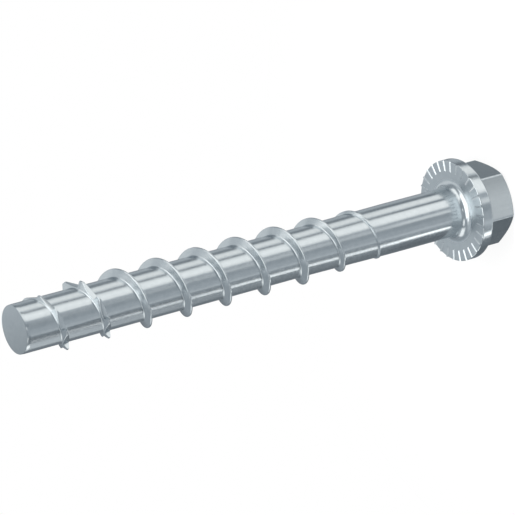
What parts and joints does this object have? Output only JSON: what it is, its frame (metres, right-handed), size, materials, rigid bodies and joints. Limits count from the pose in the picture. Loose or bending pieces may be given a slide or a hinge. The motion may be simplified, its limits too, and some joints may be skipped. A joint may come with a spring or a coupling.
{
  "type": "concrete screw",
  "caption": "Hex flange-head screw for drilled concrete or masonry: coarse right-hand thread with a toothed start, blunt flat tip, smooth neck and a ribbed bearing face under the head.",
  "frame": {"origin": "centre of the flat top of the hex head, on which the screw stands", "axes": "+Z along the screw's axis from the head to the tip, +X through one corner of the hex"},
  "size_m": [0.0205, 0.0204, 0.1097],
  "materials": {
    "zinc_steel": "bright zinc plating on steel, bluish grey, clean and unworn"
  },
  "bodies": {
    "root": {"concrete_screw": "zinc_steel"}
  },
  "joints": []
}
